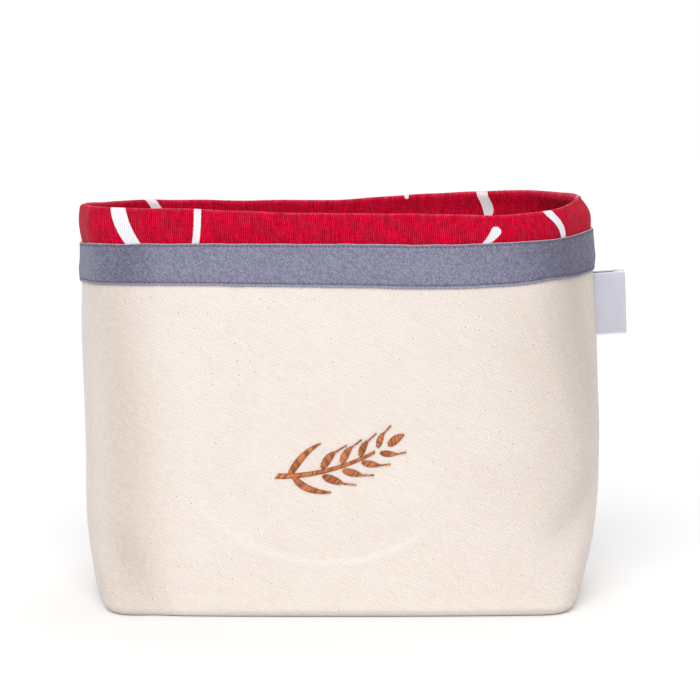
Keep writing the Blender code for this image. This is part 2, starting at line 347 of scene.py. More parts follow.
def noise_at(points, size):
    """Noise from -1 to 1 in patches of this size."""
    return np.array([noise.noise(Vector(point) / size) for point in points])


def ripple(points):
    """The slow unevenness of the cloth at these places."""
    stand = sum(most * noise_at(points, size) for size, most in zip(RIPPLE_SIZES, RIPPLE_STANDS))
    low, high = RIPPLE_CALM
    return stand * np.clip((points[:, 2] - low) / (high - low), 0, 1)


# %% The middle of the canvas, and any cloth that stands off it
def wall_height(turn, level):
    """The height of these levels of the wall."""
    top = station("rim", turn) - ROLL_HEIGHT - LINEN / 2
    marks = np.array([
        CANVAS / 2 + station("base_round", turn),
        station("ribbon_bottom", turn),
        station("ribbon_top", turn),
        top,
    ])
    stretch = np.clip(level.astype(int), 0, 2)
    place = np.arange(len(turn))
    low, high = marks[stretch, place], marks[stretch + 1, place]
    return low + (high - low) * (level - stretch)


def canvas_points(turn, level):
    """The middle of the canvas at these turns and levels."""
    edge_level = np.maximum(level, -1)
    radius = station("base_round", turn)
    angle = (np.minimum(edge_level, 0) + 1) * math.pi / 2
    round_height = CANVAS / 2 + radius * (1 - np.cos(angle))
    height = np.where(level > 0, wall_height(turn, np.maximum(level, 0)), round_height)
    wall = plan_points(turn, height)
    stand = fold_stand(turn, height, MAIN_FOLDS) + ripple(wall) - radius * (1 - np.sin(angle))
    points = wall + plan_outward(turn, height) * stand[:, None]
    under = level < -1
    if under.any():
        edge = points[under]
        opposite = canvas_points(1 - turn[under], np.full(len(edge), -1.0))
        seam = np.zeros_like(edge)
        seam[:, 0] = (edge[:, 0] + opposite[:, 0]) / 2 * BASE_SEAM_SHARE
        seam[:, 2] = edge[:, 2]
        points[under] = seam + (edge - seam) * (level[under] + 2)[:, None]
    return points


def outward(turn, level):
    """The direction that points squarely out of the canvas."""
    run = canvas_points(turn + PROBE, level) - canvas_points(turn - PROBE, level)
    rise = canvas_points(turn, level + PROBE) - canvas_points(turn, level - PROBE)
    return np.where((level > -1)[:, None], unit(np.cross(run, rise)), (0, 0, -1))


def cloth_points(turn, level, stand, up=0):
    """Places that stand off the middle of the canvas, square to it, and up from there."""
    points = canvas_points(turn, level) + outward(turn, level) * np.reshape(stand, (-1, 1))
    points[:, 2] += up
    return points


# %% [markdown]
# ## Laying a cut of cloth
#
# Every cloth begins as a tailor's cut: a flat grid. Its crossings are moved to their places on
# the wall, the two ends of the tube are sewn together by merging what coincides, and Solidify
# gives the cloth its thickness. Before that each corner of each face notes where it was on the
# flat cut, in metres. That is the UV map, and the weave follows it later.

# %% Selecting, and finishing with modifiers
def deselect_all():
    for thing in bpy.context.selected_objects:
        thing.select_set(False)


def pick(piece):
    """Makes a piece the only selected and the active object."""
    deselect_all()
    piece.select_set(True)
    bpy.context.view_layer.objects.active = piece


@contextmanager
def editing(piece, test=None):
    """Edit mode on a piece, with all its corners selected, or those whose place passes a test."""
    pick(piece)
    bpy.ops.object.mode_set(mode="EDIT")
    bpy.ops.mesh.select_mode(type="VERT")
    bpy.ops.mesh.select_all(action="DESELECT" if test else "SELECT")
    if test:
        bpy.ops.object.mode_set(mode="OBJECT")
        for corner in piece.data.vertices:
            corner.select = test(corner.co)
        bpy.ops.object.mode_set(mode="EDIT")
    yield
    bpy.ops.object.mode_set(mode="OBJECT")


def finish_with(piece, kind, **settings):
    """Adds one modifier with these settings, and applies it."""
    pick(piece)
    modifier = piece.modifiers.new(kind.title(), kind)
    for name, value in settings.items():
        setattr(modifier, name, value)
    bpy.ops.object.modifier_apply(modifier=modifier.name)


# %% The flat cut, laid where the points are
WELD = 0.01
CLOTH_MAP = "cloth"
# the name of each cut's note of painted shade, painted highlight and rubbing
LIGHT_AND_WEAR_NAME = "light_and_wear"
BASE_MAP_SHIFT = -200  # the base has its own place on the map, clear of the wall's


def lay_cut(name, points, base_rows, light_and_wear):
    """A grid laid on the points, which come row by row, sewn into a tube.

    It gets its UV map, and notes at each crossing how much painted shade, painted highlight and
    rubbing its finish shows there. The first base_rows rows lie under the bag, and each has its
    place on the map as seen from above.
    """
    columns, rows = len(TURNS) - 1, len(points) // len(TURNS) - 1
    deselect_all()
    bpy.ops.mesh.primitive_grid_add(x_subdivisions=columns, y_subdivisions=rows, size=2)
    cloth = bpy.context.object
    cloth.name = cloth.data.name = name
    mesh = cloth.data
    flat = np.empty(len(mesh.vertices) * 3)
    mesh.vertices.foreach_get("co", flat)
    flat = flat.reshape(-1, 3)
    column = np.rint((flat[:, 0] + 1) / 2 * columns).astype(int)
    row = np.rint((flat[:, 1] + 1) / 2 * rows).astype(int)
    laid = points[row * (columns + 1) + column]
    mesh.vertices.foreach_set("co", (laid * MM).ravel())

    up = np.linalg.norm(np.diff(points.reshape(rows + 1, columns + 1, 3), axis=0), axis=2)
    way_up = np.concatenate([[0], np.cumsum(up.mean(axis=1))])
    on_wall = np.stack([TURNS[column] * girth(), way_up[row] - way_up[base_rows]], axis=1)
    on_base = laid[:, :2] + (0, BASE_MAP_SHIFT)
    corner = np.empty(len(mesh.loops), int)
    mesh.loops.foreach_get("vertex_index", corner)
    face_row = np.repeat(row[corner].reshape(-1, 4).min(axis=1), 4)[:, None]
    mapped = np.where(face_row < base_rows, on_base[corner], on_wall[corner])
    mesh.uv_layers[0].name = CLOTH_MAP
    mesh.uv_layers[0].data.foreach_set("uv", (mapped * MM).ravel())
    painted_light_and_wear = mesh.attributes.new(LIGHT_AND_WEAR_NAME, "FLOAT", "POINT")
    painted_light_and_wear.data.foreach_set("value", light_and_wear[row * (columns + 1) + column])

    with editing(cloth):
        bpy.ops.mesh.remove_doubles(threshold=WELD * MM)
    return cloth


# %% Thickness, and a report on each cloth
def report(piece, node):
    """Prints how fine a piece is, and how far it lies from the node that it stands for."""
    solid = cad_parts[node].data
    tree = BVHTree.FromPolygons(
        [corner.co for corner in solid.vertices], [list(face.vertices) for face in solid.polygons]
    )
    corners = list(piece.data.vertices)
    step = max(1, len(corners) // 2000)
    away = [tree.find_nearest(corner.co)[3] for corner in corners[::step]]
    print(
        f"{piece.name}: {len(piece.data.polygons)} faces, "
        f"{sum(away) / len(away) / MM:.2f} mm from {node} on average, {max(away) / MM:.2f} at most"
    )


def thicken(piece, thickness, node, sharp=50, edge=0):
    """Gives a cloth its thickness in millimetres, and rounds its edges by edge millimetres."""
    finish_with(piece, "SOLIDIFY", thickness=thickness * MM, offset=0, use_even_offset=True)
    if edge:
        finish_with(piece, "BEVEL", width=edge * MM, segments=2, limit_method="ANGLE")
    pick(piece)
    bpy.ops.object.shade_smooth_by_angle(angle=math.radians(sharp))
    report(piece, node)


# %% The columns that all the cloth round the bag shares, and the rows of a cut
def spread(*marks_and_steps):
    """Values from mark to mark, with a number of even steps between each mark and the next."""
    values = [np.array([marks_and_steps[0]], float)]
    for low, steps, high in zip(marks_and_steps[::2], marks_and_steps[1::2], marks_and_steps[2::2]):
        values.append(np.linspace(low, high, steps + 1)[1:])
    return np.concatenate(values)


def crossings(*row_values):
    """The turn of each crossing of a cut, row by row, and what belongs to the crossing's row."""
    return [np.tile(TURNS, len(row_values[0])), *(np.repeat(row, len(TURNS)) for row in row_values)]


# The columns stand close together at the side seams and round the corners, where the shape
# turns. The back has the front's, mirrored.
front_turns = spread(0, 9, 0.008, 14, 0.06, 30, 0.13, 76, 0.37, 30, 0.44, 14, 0.492, 9, 0.5)
TURNS = np.concatenate([front_turns, 1 - front_turns[-2::-1]])
BASE_ROWS = 8
print(f"{len(TURNS) - 1} columns round the bag")

# %% [markdown]
# ## The seams' relief
#
# A side seam is two edges of cloth, turned back inside. Their folded layers lift the cloth beside
# the seam a little, and the stitching draws a fine line in between. The stitches also gather the
# cloth, so the swelling is uneven. The boxed corners end in a short seam across each side of the
# base.

# %% Side seams and boxed corners
SEAM_SWELL, SEAM_REACH = 0.5, 4.5
SEAM_GROOVE, SEAM_LINE = 1.1, 0.85
PUCKER_SHARE, PUCKER_PITCH = 0.35, 8.5
BOX_SEAM_LEVEL, BOX_SEAM_HALF, BOX_SEAM_GROOVE = -0.55, 0.082, 0.7


def bell(away, width):
    """1 where away is 0, and down to nothing some widths from there."""
    return np.exp(-((away / width) ** 2))


def from_seam(turn):
    """The way round from the nearer side seam."""
    return np.abs((turn + 0.25) % 0.5 - 0.25)


def side_seam(turn, height):
    """How far the side seams' swelling and their fine groove lie off the wall."""
    beside = from_seam(turn) * girth()
    pucker = 1 + PUCKER_SHARE * np.sin(FULL_TURN * height / PUCKER_PITCH)
    return SEAM_SWELL * pucker * bell(beside, SEAM_REACH) - SEAM_GROOVE * bell(beside, SEAM_LINE)


def box_seam(turn, level):
    """How far the short seam across each side of the base lies in."""
    radius = station("base_round", turn)
    beside = (level - BOX_SEAM_LEVEL) * radius * math.pi / 2
    near_side = np.clip((BOX_SEAM_HALF - from_seam(turn)) / 0.01, 0, 1)
    swell = SEAM_SWELL / 2 * bell(beside, SEAM_REACH)
    return (swell - BOX_SEAM_GROOVE * bell(beside, SEAM_LINE)) * near_side


# %% [markdown]
# ## The canvas bag
#
# The canvas runs from the middle of the base, round the soft lower edge and up to the rim. Two
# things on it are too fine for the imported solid: the seams, and the crease where the front turns
# under.

# %% The crease at the base, and the canvas's own relief
CREASE_HEIGHT, CREASE_RISE, CREASE_WIDTH, CREASE_STAND = 5.6, 5.5, 2.1, 0.5
CREASE_TURNS = (0.13, 0.405)


def fade(value, none, full):
    """0 up to none, 1 from full on, and smooth between them."""
    t = np.clip((value - none) / (full - none), 0, 1)
    return t * t * (3 - 2 * t)


def canvas_relief(turn, level):
    """What stands off the canvas, besides the main folds."""
    height = canvas_points(turn, level)[:, 2]
    left, right = CREASE_TURNS
    crease_height = CREASE_HEIGHT + CREASE_RISE * fade(turn, left + 0.05, left - 0.01)
    on_front = fade(turn, left - 0.02, left + 0.02) * fade(turn, right + 0.02, right - 0.02)
    crease = CREASE_STAND * bell(height - crease_height, CREASE_WIDTH)
    above_base = fade(level, -0.95, -0.5)
    return crease * on_front + side_seam(turn, height) * above_base + box_seam(turn, level)


# %% The canvas
turn, level = crossings(spread(-2, BASE_ROWS, -1, 20, 0, 62, 1, 9, 2, 8, 3))
canvas_cut = cloth_points(turn, level, canvas_relief(turn, level) * (level > -1))
# how much painted shade darkens each crossing of the canvas
canvas_painted_shade = fold_stand(turn, canvas_cut[:, 2], CANVAS_PAINTED_SHADE)
canvas = lay_cut("canvas_bag", canvas_cut, BASE_ROWS, canvas_painted_shade)
thicken(canvas, CANVAS, "outer_bag")

# %% [markdown]
# ## The linen lining
#
# The lining is a bag inside the bag. At the rim it turns over the canvas in a soft roll and comes
# down outside as a cuff, whose raw edge ends under the ribbon. One cut makes all of it: the rows
# go up the inside, round half a circle and down again. Inside, the linen hangs a little looser
# than the canvas, so it gets some waves of its own that only ever lean into the bag. The rim
# rises and dips by less than a millimetre, as a turned edge does.

# %% The lining
INSIDE_WAVE, INSIDE_WAVE_SIZE = 2.2, 38
WAVY_PART = 0.6  # how low the noise may be where the linen still leans in
RIM_WAVE, RIM_WAVE_SIZE, RIM_WAVE_LAYER = 0.5, 24, 7
ROLL_ROWS, CUFF_ROWS, TUCK_ROWS = 9, 9, 4
SEAM_SHARE = 0.7  # how much of the canvas's seams shows in the lining
RIM_LINE_NARROWNESS = 6  # the higher, the narrower the paler line along the rim, from rubbing and a painted highlight

inside_levels = spread(-2, BASE_ROWS, -1, 10, 0, 48, 1, 7, 2, 6, 3)
lining_rows = [(level, -CUFF_STAND, 0, 1) for level in inside_levels]
roll_middle, roll_half = (ROLL_STAND - CUFF_STAND) / 2, (ROLL_STAND + CUFF_STAND) / 2
for angle in np.linspace(0, math.pi, ROLL_ROWS + 1)[1:]:
    roll_stand = roll_middle - roll_half * math.cos(angle)
    lining_rows.append((3, roll_stand, ROLL_HEIGHT * math.sin(angle), 0))
for level in np.linspace(3, 2, CUFF_ROWS + 1)[1:]:
    cuff_stand = CUFF_STAND + (ROLL_STAND - CUFF_STAND) * (level - 2)
    cuff_stand += CUFF_PUFF * math.sin(math.pi * (level - 2))
    lining_rows.append((level, cuff_stand, 0, 0))
for level in np.linspace(2, CUFF_EDGE_LEVEL, TUCK_ROWS + 1)[1:]:
    lining_rows.append((level, CUFF_STAND, 0, 0))

turn, level, stand, up, inside = crossings(*np.array(lining_rows, float).T)
middle = canvas_points(turn, level)
wave = noise_at(middle, INSIDE_WAVE_SIZE)
slack = inside * fade(level, -0.9, -0.2) * fade(level, 2.6, 1.6)
stand = stand - INSIDE_WAVE * (wave + WAVY_PART).clip(0) * slack
seam = side_seam(turn, middle[:, 2]) * fade(level, -0.95, -0.5) * SEAM_SHARE
stand = stand + np.where(inside > 0, -seam, seam)
middle[:, 2] = RIM_WAVE_LAYER
# the top of the roll: paler from rubbing, and a painted highlight where it catches the light
rim_rub_and_highlight = (up / ROLL_HEIGHT) ** RIM_LINE_NARROWNESS
up = up + RIM_WAVE * noise_at(middle, RIM_WAVE_SIZE) * fade(level, 2.1, 3)

lining_cut = cloth_points(turn, level, stand, up)
lining = lay_cut("linen_lining", lining_cut, BASE_ROWS, rim_rub_and_highlight)
thicken(lining, LINEN, "lining", sharp=80)

# %% [markdown]
# ## The ribbon
#
# A 25 mm tape lies over the cuff's raw edge: its lower part is sewn down on the canvas, and its
# upper part lies higher, on the linen. Two rows of machine stitches hold it, and each draws a
# shallow groove. The tape's two ends lap at the left side seam. Bevel rounds its woven edges.

# %% The ribbon
RIBBON_TALL = 25
TOP_ROW_LEVEL, LOW_ROW_LEVEL = 1.942, 1.072
ROW_GROOVE, ROW_GROOVE_WIDTH = 0.28, 0.75
LAP_STAND, LAP_TURN, LAP_STEP = 0.45, 0.013, 0.0012
RIBBON_SEAM_SHARE = 0.6
EDGE_WAVE, EDGE_WAVE_SIZE, EDGE_WAVE_LAYER = 0.35, 13, 40


def ribbon_stand(turn, level):
    """How far the middle of the ribbon lies from the middle of the canvas."""
    climb = fade(level, 1.0, CUFF_EDGE_LEVEL)
    stand = RIBBON_LOW_STAND + (RIBBON_HIGH_STAND - RIBBON_LOW_STAND) * climb
    for row in (TOP_ROW_LEVEL, LOW_ROW_LEVEL):
        stand = stand - ROW_GROOVE * bell((level - row) * RIBBON_TALL, ROW_GROOVE_WIDTH)
    lap = LAP_STAND * fade(turn % 1, LAP_TURN, LAP_TURN - LAP_STEP)
    swell = RIBBON_SEAM_SHARE * SEAM_SWELL * bell(from_seam(turn) * girth(), SEAM_REACH)
    return stand + lap + swell


# The ribbon's two edges wander up and down a little, each by its own layer of the noise.
turn, level = crossings(spread(1, 9, 1.16, 11, 1.84, 9, 2))
side = np.sign(level - 1.5)
edge_places = plan_points(turn, np.full(len(turn), 200.0))
edge_places[:, 2] = EDGE_WAVE_LAYER * side
edge_noise = noise_at(edge_places, EDGE_WAVE_SIZE)
edge_up = EDGE_WAVE * fade(np.abs(level - 1.5), 0.3, 0.5) * side * edge_noise
ribbon_cut = cloth_points(turn, level, ribbon_stand(turn, level), edge_up)
# how much painted shade darkens each crossing of the ribbon
ribbon_painted_shade = fold_stand(turn, ribbon_cut[:, 2], RIBBON_PAINTED_SHADE)
ribbon = lay_cut("twill_ribbon", ribbon_cut, 0, ribbon_painted_shade)
thicken(ribbon, RIBBON, "ribbon_band", edge=0.25)

# %% [markdown]
# ## The loop label
#
# The label is a short woven strip, folded double, with its two ends caught in the right side
# seam. It starts as a plane for the front half. In edit mode its free edge is spun half way
# round, which makes the fold, and then pulled back to the seam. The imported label's box says where
# the seam is and how far the label stands out of it.

# %% The label
label_low, label_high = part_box("side_label")
LABEL_TALL = 38.7 * MM
LABEL_TOP = label_high.z - 2.8 * MM
LABEL_SHORTER = 3.2 * MM
LABEL_OPENING = 1.4 * MM
LABEL_BACK_RISE = 0.7 * MM
SEAM_BITE = 1.2 * MM

fold_radius = (LABEL_OPENING + LABEL * MM) / 2
label_start = label_low.x - SEAM_BITE
fold_x = label_high.x - fold_radius - LABEL * MM / 2 - LABEL_SHORTER
front_length = fold_x - label_start

deselect_all()
bpy.ops.mesh.primitive_plane_add(size=1, rotation=(math.pi / 2, 0, 0))
label = bpy.context.object
label.name = label.data.name = "loop_label"
label.scale = (front_length, LABEL_TALL, 1)
label.location = (label_start + front_length / 2, -fold_radius, LABEL_TOP - LABEL_TALL / 2)
bpy.ops.object.transform_apply(location=True, rotation=True, scale=True)

with editing(label, lambda place: place.x > fold_x - 0.1 * MM):
    bpy.ops.mesh.spin(steps=8, angle=math.pi, center=(fold_x, 0, 0), axis=(0, 0, 1))
    bpy.ops.mesh.extrude_region_move(TRANSFORM_OT_translate={"value": (-front_length, 0, 0)})
print("label fold reaches", round(max(c.co.x for c in label.data.vertices) / MM, 1), "mm")

# %% The label's slight twist, and its thickness
LABEL_BOW = 1.1 * MM
LABEL_WAVE = 0.35 * MM
LABEL_WAVES = 1.2
LABEL_FLARE = 0.045
LABEL_LEAN = math.radians(4.2)
LABEL_LAYER = 0.64  # in millimetres: a little less than the room that the fold gives a layer
with editing(label, lambda place: place.y > 0.1 * MM):
    bpy.ops.transform.translate(value=(0, 0, LABEL_BACK_RISE))
with editing(label):
    bpy.ops.mesh.subdivide(number_cuts=5)
    bpy.ops.mesh.normals_make_consistent(inside=False)
for corner in label.data.vertices:
    reach = (corner.co.x - label_start) / (label_high.x - label_start)
    tall = 1 - (LABEL_TOP - corner.co.z) / LABEL_TALL
    corner.co.y -= LABEL_BOW * reach**2
    corner.co.y += LABEL_WAVE * math.sin(LABEL_WAVES * FULL_TURN * tall + 0.6) * reach
    corner.co.x += (1 - tall) * LABEL_TALL * reach * LABEL_FLARE
    corner.co.z += (corner.co.x - label_start) * math.sin(LABEL_LEAN)
thicken(label, LABEL_LAYER, "side_label", edge=0.18)

# %% [markdown]
# ## Stitches
#
# All the sewing repeats one shape: a short length of thread that comes out of the cloth, lies on
# it and goes back in. It is modelled once, one unit long, from a ball whose rings are drawn out
# and whose middle is lifted. Copies are then stretched from hole to hole. They are joined as one
# mesh, because hundreds of separate stitches would slow the scene down. The ball's own UV map
# stays with them: u runs round the thread and v along it, and each copy's u starts at its own
# whole number, which lets the finish tell the stitches apart.

# %% One stitch
STITCH_MAP = "stitch"
STITCH_LIFT = 0.75
RINGS = ((0.433, 1.75), (0.25, 1.12))  # how far out a ring of the ball is, and how much it widens


def model_stitch():
    """A stitch of unit length along X, from a ball."""
    deselect_all()
    bpy.ops.mesh.primitive_uv_sphere_add(segments=8, ring_count=6, rotation=(0, math.pi / 2, 0))
    stitch = bpy.context.object
    stitch.name = "one_stitch"
    stitch.data.uv_layers[0].name = STITCH_MAP
    stitch.scale = (0.5, 0.5, 0.5)
    bpy.ops.object.transform_apply(location=True, rotation=True, scale=True)
    for reach, wider in RINGS:
        for side in (-1, 1):
            ring = side * reach
            with editing(stitch, lambda place: abs(place.x - ring) < 0.01):
                bpy.ops.transform.resize(value=(1, wider, wider))
    with editing(stitch, lambda place: abs(place.x) < 0.01):
        bpy.ops.transform.translate(
            value=(0, 0, STITCH_LIFT), use_proportional_edit=True,
            proportional_edit_falloff="SMOOTH", proportional_size=0.5,
        )
    bpy.ops.object.shade_smooth()
    return stitch


one_stitch = model_stitch()
print("one stitch has", len(one_stitch.data.polygons), "faces")


# %% Sewing: copies of the stitch from hole to hole
def stitch_place(start, end, out, width, height):
    """The matrix that puts a stitch between two holes, on cloth that faces out."""
    run = Vector(end) - Vector(start)
    side = Vector(out).cross(run).normalized()
    up = run.cross(side).normalized()
    place = Matrix((run, side * width, up * height)).transposed().to_4x4()
    place.translation = (Vector(start) + Vector(end)) / 2
    return place


def sew(name, places):
    """Copies of the one stitch at all these places, as one piece."""
    sewn = bmesh.new()
    own_map = np.empty(len(one_stitch.data.loops) * 2)
    one_stitch.data.uv_layers[0].data.foreach_get("uv", own_map)
    for number, place in enumerate(places):
        copy = one_stitch.data.copy()
        copy.transform(place)
        copy.uv_layers[0].data.foreach_set("uv", own_map + np.tile((number, 0), len(copy.loops)))
        sewn.from_mesh(copy)
        bpy.data.meshes.remove(copy)
    mesh = bpy.data.meshes.new(name)
    sewn.to_mesh(mesh)
    sewn.free()
    piece = bpy.data.objects.new(name, mesh)
    bpy.context.scene.collection.objects.link(piece)
    print(f"{name}: {len(places)} stitches, {len(mesh.polygons)} faces")
    return piece


# %% The two rows on the ribbon
STITCH_PITCH = 2.7
STITCH_SHARE = 0.8
SEWING_THREAD = 0.5


def ribbon_row(row_level):
    """The places of the stitches all round the ribbon at one level."""
    count = round(girth() / STITCH_PITCH)
    starts = np.arange(count) / count
    level = np.full(count, row_level)
    holes = []
    for turn in (starts, starts + STITCH_SHARE / count):
        stand = ribbon_stand(turn, level) + RIBBON / 2
        holes.append(cloth_points(turn, level, stand) * MM)
    out = outward(starts, level)
    thread = SEWING_THREAD * MM
    return [stitch_place(start, end, o, thread, thread) for start, end, o in zip(*holes, out)]


ribbon_stitches = sew("ribbon_stitches", ribbon_row(TOP_ROW_LEVEL) + ribbon_row(LOW_ROW_LEVEL))

# %% [markdown]
# ## The embroidery
#
# The front carries an embroidered ear of wheat, lying along a curved stalk, in satin stitch.
# Satin stitch fills a shape with threads laid side by side from edge to edge, so the outline has
# a fine zigzag and the middle is padded. Each grain and leaf here is a slim outline round its own
# axis, and a loop lays the threads across it, slanted a little. The shapes are drawn flat, in
# millimetres to the right and up from the embroidery's middle, and `front_turn` finds where each
# hole is on the bowed front.

# %% From a flat drawing to the front of the bag
EMBROIDERY_X, EMBROIDERY_HEIGHT = -1.0, 96.8
HALVINGS = 18


def front_turn(x, height):
    """The turns at which the front lies this far to the right, found by halving."""
    low, high = np.full(len(x), 0.1), np.full(len(x), 0.4)
    for _ in range(HALVINGS):
        middle = (low + high) / 2
        short = plan_points(middle, height)[:, 0] < x
        low, high = np.where(short, middle, low), np.where(short, high, middle)
    return (low + high) / 2


def on_front(drawn):
    """Places on the canvas's face, and the way it faces, for points of the drawing."""
    x, height = drawn[:, 0] + EMBROIDERY_X, drawn[:, 1] + EMBROIDERY_HEIGHT
    turn = front_turn(x, height)
    low = CANVAS / 2 + station("base_round", turn)
    level = (height - low) / (station("ribbon_bottom", turn) - low)
    stand = CANVAS / 2 + canvas_relief(turn, level)
    return cloth_points(turn, level, stand) * MM, outward(turn, level)


# %% Satin stitch along an axis
THREAD = 1.08
THREAD_PITCH = 1.15
SLANT = 0.4


def satin(axis, half_width, slant=SLANT):
    """Pairs of holes across an axis, a line of drawn points. half_width(share) is in mm."""
    way = walked(axis)
    count = max(4, round(way[-1] / THREAD_PITCH))
    share = (np.arange(count) + 0.5) / count
    middle = along(axis, share)
    before, after = (along(axis, np.clip(share + step, 0, 1)) for step in (-0.01, 0.01))
    ahead = unit(after - before)
    side = np.stack([-ahead[:, 1], ahead[:, 0]], axis=1)
    reach = (side + ahead * slant) * half_width(share)[:, None]
    return middle - reach, middle + reach


def turned(direction, degrees):
    """A direction turned to the left by this many degrees."""
    angle = math.radians(degrees)
    x, y = direction
    return np.array([
        x * math.cos(angle) - y * math.sin(angle),
        x * math.sin(angle) + y * math.cos(angle),
    ])


# %% The ear of wheat
STALK = curve((-35, -12), (0, -12.5), (32, 8), 60)
STALK_HALF = 1.7
EAR_START, EAR_END, EAR_PAIRS = 0.38, 0.88, 4
GRAIN_LONG, GRAIN_HALF, GRAIN_SPLAY, GRAIN_OFF = 13, 2.45, 36, 2.1
AWN_LONG, AWN_SPLAY, AWN_STITCHES = 7.5, 18, 3


def grain_width(share):
    """A grain's half width: full near its foot, and drawn to a point at its tip."""
    return GRAIN_HALF * np.sin(math.pi * share**0.75) ** 0.7 + 0.25


def leaf_width(share):
    """A leaf's half width: slim at both ends."""
    return 2.0 * np.sin(math.pi * share**0.6) ** 0.8 + 0.3


def stalk_point(share):
    """A place on the stalk, and the way that the stalk runs there."""
    place, ahead = along(STALK, np.array([share, min(1, share + 0.02)]))
    return place, unit(ahead - place)


stalk_end = round(0.86 * len(STALK))
satin_holes = [satin(STALK[:stalk_end], lambda share: STALK_HALF * (1 - 0.45 * share), 0.8)]
awn_lines = []
for share in np.linspace(EAR_START, EAR_END, EAR_PAIRS):
    foot, ahead = stalk_point(share)
    shrink = 1 - 0.25 * (share - EAR_START) / (EAR_END - EAR_START)
    for side in (1, -1):
        side_way = turned(ahead, 90 * side)
        start = foot + side_way * GRAIN_OFF * shrink
        tip = start + turned(ahead, GRAIN_SPLAY * side) * GRAIN_LONG * shrink
        belly = (start + tip) / 2 + side_way * 1.3
        satin_holes.append(satin(curve(start, belly, tip), lambda t: grain_width(t) * shrink))
        awn_lines.append((tip, tip + turned(ahead, AWN_SPLAY * side) * AWN_LONG * shrink))
tip_start, tip_way = stalk_point(0.965)
tip_end = tip_start + tip_way * GRAIN_LONG * 0.85
satin_holes.append(satin(curve(tip_start, (tip_start + tip_end) / 2, tip_end), grain_width))
for foot_share, bend, end in ((0.1, (-19, 3), (-9, 7.5)), (0.14, (-19, -22), (-3, -21.5))):
    foot, _ = stalk_point(foot_share)
    satin_holes.append(satin(curve(foot, bend, end), leaf_width))

# %% The threads, laid on the canvas
starts = np.concatenate([start for start, _ in satin_holes])
ends = np.concatenate([end for _, end in satin_holes])
for start, end in awn_lines:
    marks = np.linspace(0, 1, AWN_STITCHES + 1)[:, None]
    line = start + (end - start) * marks
    starts, ends = np.concatenate([starts, line[:-1]]), np.concatenate([ends, line[1:]])
start_places, faces_out = on_front(starts)
end_places, _ = on_front(ends)
embroidery = sew("wheat_embroidery", [
    stitch_place(start, end, out, THREAD * MM, THREAD * MM)
    for start, end, out in zip(start_places, end_places, faces_out)
])
bpy.data.objects.remove(one_stitch)

# %% [markdown]
# ## Building materials from nodes
#
# The finishes are trees of shader nodes. Two small classes keep them readable. A **bench** adds
# nodes to one tree, and takes plain values or other nodes' outputs as their inputs. A **wire** is
# such an output, and plain arithmetic on it adds the math nodes. What more than one cloth needs,
# such as a twill, is a node group with named inputs, built once.

# %% Wires between nodes
def adds(operation, swapped=False):
    """A method that adds one math node to the bench of its wire."""
    def method(self, *others):
        values = (*others, self) if swapped else (self, *others)
        return self.bench.math(operation, *values)
    return method


class Wire:
    """One output of a node. Arithmetic on it adds a math node, and gives that node's wire."""

    def __init__(self, bench, socket):
        self.bench = bench
        self.socket = socket

    def other(self, name):
        """The wire from another output of the same node."""
        return Wire(self.bench, self.socket.node.outputs[name])

    __add__ = adds("ADD")
    __sub__ = adds("SUBTRACT")
    __rsub__ = adds("SUBTRACT", swapped=True)
    __mul__ = adds("MULTIPLY")
    __truediv__ = adds("DIVIDE")
    __rtruediv__ = adds("DIVIDE", swapped=True)
    __lt__ = adds("LESS_THAN")
    __abs__ = adds("ABSOLUTE")


# %% A bench for node trees
class Bench:
    """Adds nodes to one tree. An input is a plain value or a wire."""

    def __init__(self, tree):
        self.tree = tree
        self.count = 0

    def feed(self, node, inputs):
        """Links the wires to a node's inputs, and sets the inputs that get plain values."""
        for name, value in inputs.items():
            if isinstance(value, Wire):
                self.tree.links.new(value.socket, node.inputs[name])
            else:
                node.inputs[name].default_value = value

    def add(self, kind, inputs=None, output=0, **settings):
        node = self.tree.nodes.new(kind)
        node.location = (190 * (self.count % 10), -260 * (self.count // 10))
        self.count += 1
        for name, value in settings.items():
            setattr(node, name, value)
        self.feed(node, inputs or {})
        return Wire(self, node.outputs[output])

    def group(self, tree, **inputs):
        """A group's node. The wires from it are found by its outputs' names."""
        outputs = self.add("ShaderNodeGroup", inputs, node_tree=tree).socket.node.outputs
        return SimpleNamespace(**{socket.name: Wire(self, socket) for socket in outputs})

    def math(self, operation, *values):
        return self.add("ShaderNodeMath", dict(enumerate(values)), operation=operation)

    def wave(self, value):
        """A smooth wave from 0 to 1, full at each whole number."""
        return self.math("COSINE", value * FULL_TURN) * 0.5 + 0.5

    def vector(self, operation, *values):
        return self.add("ShaderNodeVectorMath", dict(enumerate(values)), operation=operation)

    def scaled(self, vector, x, y, z=1):
        return self.vector("MULTIPLY", vector, (x, y, z))

    def grown(self, vector, times):
        return self.add("ShaderNodeVectorMath", {0: vector, "Scale": times}, operation="SCALE")

    def turned(self, vector, angle):
        inputs = {"Vector": vector, "Angle": angle}
        return self.add("ShaderNodeVectorRotate", inputs, rotation_type="Z_AXIS")

    def part(self, vector, axis):
        return self.add("ShaderNodeSeparateXYZ", {"Vector": vector}, output=axis)

    def noise(self, vector, scale, detail=2, roughness=0.5):
        inputs = {"Vector": vector, "Scale": scale, "Detail": detail, "Roughness": roughness}
        return self.add("ShaderNodeTexNoise", inputs)

    def random(self, first, second):
        """A random number from 0 to 1, always the same one for the same two numbers."""
        pair = self.add("ShaderNodeCombineXYZ", {0: first, 1: second})
        return self.add("ShaderNodeTexWhiteNoise", {"Vector": pair}, noise_dimensions="2D")

    def between(self, value, low, high, new_low=0, new_high=1):
        inputs = dict(enumerate((value, low, high, new_low, new_high)))
        return self.add("ShaderNodeMapRange", inputs, interpolation_type="SMOOTHSTEP")

    def layered(self, colour, *layers):
        """A colour with layers on it, each a share and another colour, the last one on top."""
        for share, over in layers:
            inputs = {0: share, 6: colour, 7: over}
            colour = self.add("ShaderNodeMix", inputs, output=2, data_type="RGBA")
        return colour


